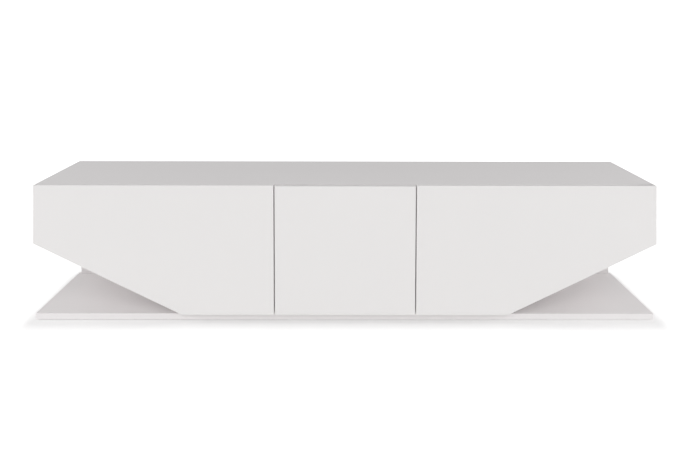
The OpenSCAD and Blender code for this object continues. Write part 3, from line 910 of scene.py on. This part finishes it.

# --- doors -----------------------------------------------------------------------------------
# Three handle-less 16 mm doors in satin lacquer. They lie over the front edges of the body with
# 3 mm gaps, and the hinge cups are bored 35 mm wide into their backs.

# The door lacquer is set a shade darker than the carcass lacquer, to offset the strong front light on
# the doors: painted shade.
door_lacquer = finish(
    "door_lacquer", (0.848, 0.832, 0.826), (0.830, 0.815, 0.810),
    cloud=2.0, grain=1100.0, gloss=(0.34, 0.42), relief=0.000008,
)
cup_radius = 0.0175
cup_rim = 0.0015
cup_reach = cup_radius + cup_rim


def door_shape(side):
    low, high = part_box(f"{side}_door")
    if side == "centre":
        return rectangle(low.x, high.x, low.z, high.z)
    inner, outer = sorted((abs(low.x), abs(high.x)))
    rise = (low.z - foot[1]) / (corner[1] - foot[1])
    slant_start = foot[0] + (corner[0] - foot[0]) * rise
    outline = [(inner, low.z), (slant_start, low.z), corner, summit, (inner, high.z)]
    return flipped_outline(outline) if side == "left" else outline


for side in compartments:
    low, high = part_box(f"{side}_door")
    door = sawn_board(f"{side}_door_leaf", door_shape(side), low.y, high.y)
    bores = []
    for cup_low, cup_high in solids(f"{side}_hinge_cups"):
        x = cup_high.x - cup_reach if side == "left" else cup_low.x + cup_reach
        z = (cup_low.z + cup_high.z) / 2
        bores.append(((x, high.y + past, z), (x, cup_low.y, z), cup_radius))
    drill(door, bores, sides=96)
    ease_edges(door, edge_round)
    fit(door, door_lacquer, f"{side}_door_leaf", "door_lacquer", f"{side}_door")

# --- hinge cups ------------------------------------------------------------------------------
# Pressed steel cups, 35 mm wide and nickel plated, sunk in the backs of the doors. The flange
# lies on the door, and its two wings are screwed down.


def worked_copy(node, name, radius):
    """A piece with the true shape of a CAD node, its sharp edges rounded."""
    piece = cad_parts[node].copy()
    piece.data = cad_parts[node].data.copy()
    piece.name = name
    piece.data.name = name
    bpy.context.scene.collection.objects.link(piece)
    piece.hide_render = False
    select_only(piece)
    bpy.ops.object.mode_set(mode="EDIT")
    bpy.ops.mesh.select_all(action="SELECT")
    bpy.ops.mesh.remove_doubles(threshold=1e-6)
    bpy.ops.mesh.dissolve_limited(angle_limit=math.radians(0.5))
    bpy.ops.object.mode_set(mode="OBJECT")
    ease_edges(piece, radius, steps=2)
    return piece


nickel = finish(
    "nickel", (0.78, 0.765, 0.74), (0.70, 0.685, 0.66),
    cloud=70.0, grain=2400.0, gloss=(0.20, 0.30), relief=0.000006, metallic=1.0,
)
steel = finish(
    "steel", (0.60, 0.605, 0.62), (0.50, 0.505, 0.52),
    cloud=120.0, grain=2800.0, gloss=(0.24, 0.36), relief=0.000008, metallic=1.0,
)
press_round = 0.00025
for side in compartments:
    cups = worked_copy(f"{side}_hinge_cups", f"{side}_pressed_cups", press_round)
    fit(cups, nickel, f"{side}_door_leaf", "nickel", f"{side}_hinge_cups")

# --- cup screws ------------------------------------------------------------------------------
# Two zinc-plated pan-head screws, 3.5 mm thick, go through the wings of each cup into the door.
# Their heads stand 1 mm proud.


def pan_screw(name, head_radius, head_height, crest, length, depth):
    head = [
        (0.55 * head_radius, 0.0), (0.85 * head_radius, 0.12 * head_height),
        (head_radius, 0.55 * head_height), (head_radius, head_height), (crest, head_height),
    ]
    piece = screw(name, head, crest, length)
    cross_recess(piece, across=1.05 * head_radius, depth=depth)
    return piece


cup_screw_boxes = solids("left_cup_screws")
cup_head = extent(cup_screw_boxes[0], "x") / 2
cup_screw_length = extent(cup_screw_boxes[0], "y")
for side in compartments:
    copies(
        pan_screw(
            f"{side}_cup_screw", cup_head, head_height=0.001, crest=0.00175,
            length=cup_screw_length, depth=0.0008,
        ),
        [from_end(box, frontward) for box in solids(f"{side}_cup_screws")],
        zinc, f"{side}_door_leaf", "zinc", f"{side}_cup_screws",
    )

# --- hinge pins ------------------------------------------------------------------------------
# Hardened steel pins, 2.5 mm thick, ground round and chamfered at both ends. Each is fixed
# across its cup, and the door turns about it.

hinge_pin_boxes = solids("left_hinge_pins")
hinge_pin_radius = extent(hinge_pin_boxes[0], "x") / 2
hinge_pin_length = extent(hinge_pin_boxes[0], "z")
pin_chamfer = 0.0003
for side in compartments:
    copies(
        turn(
            f"{side}_hinge_pin",
            [
                (hinge_pin_radius - pin_chamfer, 0.0), (hinge_pin_radius, pin_chamfer),
                (hinge_pin_radius, hinge_pin_length - pin_chamfer),
                (hinge_pin_radius - pin_chamfer, hinge_pin_length),
            ],
            sides=20,
        ),
        [
            Matrix.Translation((middle(box).x, middle(box).y, box[0].z))
            for box in solids(f"{side}_hinge_pins")
        ],
        steel, f"{side}_door_leaf", "steel", f"{side}_hinge_pins",
    )

# --- hinge plates and arms -------------------------------------------------------------------
# Each plate is die-cast and screwed to a partition's side. The cranked arm is pressed from
# 2.4 mm steel, is clamped over the plate's rail by two screws, and holds the pin in its eye.

plates = worked_copy("hinge_plates", "cast_hinge_plates", press_round)
fit(plates, nickel, "cabinet", "nickel", "hinge_plates")
arms = worked_copy("hinge_arms", "pressed_hinge_arms", press_round)
fit(arms, nickel, "cabinet", "nickel", "hinge_arms")

hinge_line = middle(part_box("left_partition")).x


def from_head(box):
    """A hinge screw's place: its head is on the side that the door's hinge looks to."""
    inward = 1 if middle(box).x < hinge_line else -1
    return from_end(box, (inward, 0, 0))


for node, name, head_height, crest in (
    ("hinge_plate_screws", "hinge_plate_screw", 0.0015, 0.0025),
    ("hinge_arm_screws", "hinge_arm_screw", 0.0018, 0.002),
):
    boxes = solids(node)
    head_radius = extent(boxes[0], "z") / 2
    length = extent(boxes[0], "x")
    copies(
        pan_screw(name, head_radius, head_height, crest, length, 0.8 * head_height),
        [from_head(box) for box in boxes], zinc, "cabinet", "zinc", node,
    )

# --- push latches ----------------------------------------------------------------------------
# One housing of grey plastic under the top board in each compartment, with two ears for its
# screws and a bore from the front for the plunger.

moulded_round = 0.0005
latches = worked_copy("latch_bodies", "latch_housings", moulded_round)
fit(latches, grey_plastic, "cabinet", "grey_plastic", "latch_bodies")

latch_screw_boxes = solids("latch_screws")
latch_head = extent(latch_screw_boxes[0], "x") / 2
latch_screw_length = extent(latch_screw_boxes[0], "z")
copies(
    pan_screw(
        "latch_screw", latch_head, head_height=0.0018, crest=0.0015,
        length=latch_screw_length, depth=0.0012,
    ),
    [from_end(box, upward) for box in latch_screw_boxes],
    zinc, "cabinet", "zinc", "latch_screws",
)

# --- latch springs and plungers --------------------------------------------------------------
# A coil spring of 0.8 mm wire stands behind each white plastic plunger. In the real latch it shortens
# by the plunger's stroke when the door is pushed, and drives the door open when it is let go; here
# the spring is fixed to the cabinet at its full length.

white_plastic = finish(
    "white_plastic", (0.80, 0.80, 0.785), (0.76, 0.76, 0.745),
    cloud=80.0, grain=2200.0, gloss=(0.34, 0.46), relief=0.00002,
)
wire_radius = 0.0004
coils = 8
for side in compartments:
    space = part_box(f"{side}_latch_spring")
    coil_radius = extent(space, "x") / 2 - wire_radius
    rise = (extent(space, "y") - 2 * wire_radius) / coils
    bpy.ops.object.select_all(action="DESELECT")
    bpy.ops.mesh.primitive_circle_add(
        vertices=8, radius=wire_radius, fill_type="NOTHING",
        location=(coil_radius, 0.0, wire_radius),
        rotation=(math.pi / 2, 0.0, 0.0),
    )
    spring = take_new(f"{side}_coil_spring")
    winding = spring.modifiers.new("winding", "SCREW")
    winding.axis = "Z"
    winding.screw_offset = rise
    winding.iterations = coils
    winding.steps = 24
    winding.render_steps = 24
    bpy.ops.object.modifier_apply(modifier=winding.name)
    bpy.ops.object.mode_set(mode="EDIT")
    bpy.ops.mesh.select_all(action="SELECT")
    bpy.ops.mesh.remove_doubles(threshold=1e-7)
    bpy.ops.mesh.fill_holes(sides=0)
    bpy.ops.mesh.select_all(action="SELECT")
    bpy.ops.mesh.normals_make_consistent(inside=False)
    bpy.ops.object.mode_set(mode="OBJECT")
    spring.data.transform(from_end(space, backward))
    shade(spring)
    fit(spring, steel, "cabinet", "steel", f"{side}_latch_spring")
    spot = middle(space)
    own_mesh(spring)

tip_round = 0.0012
tail_bevel = 0.0004
for side in compartments:
    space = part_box(f"{side}_latch_plunger")
    radius = extent(space, "x") / 2
    length = extent(space, "y")
    nose = [
        (radius - tip_round * (1 - math.sin(angle)), tip_round * (1 - math.cos(angle)))
        for angle in (math.radians(degrees) for degrees in range(0, 91, 15))
    ]
    plunger = turn(
        f"{side}_push_plunger",
        nose + [
            (radius, 0.55 * length), (0.9 * radius, 0.56 * length), (0.9 * radius, 0.6 * length),
            (radius, 0.61 * length), (radius, length - tail_bevel), (radius - tail_bevel, length),
        ],
        sides=40,
    )
    copies(
        plunger, [from_end(space, backward)], white_plastic,
        f"{side}_plunger", "white_plastic", f"{side}_latch_plunger",
    )

# --- strike plates ---------------------------------------------------------------------------
# Round turned steel plates, 16 mm wide, each with a short spike. They are tapped into the backs
# of the doors, where the plungers meet them.

spike_radius = 0.0015
spike_point = 0.0006
spike_taper = 0.0008
for side in compartments:
    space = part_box(f"{side}_strike_plate")
    radius = extent(space, "x") / 2
    face = space[1].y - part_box(f"{side}_door")[1].y
    depth = extent(space, "y")
    strike = turn(
        f"{side}_round_strike",
        [
            (0.35 * radius, 0.2 * face), (0.6 * radius, 0.12 * face), (0.66 * radius, 0.0),
            (radius - 0.3 * face, 0.0), (radius, 0.35 * face), (radius, face),
            (spike_radius, face), (spike_radius, depth - spike_taper), (spike_point, depth),
        ],
        sides=40,
    )
    copies(
        strike, [from_end(space, frontward)], steel,
        f"{side}_door_leaf", "steel", f"{side}_strike_plate",
    )
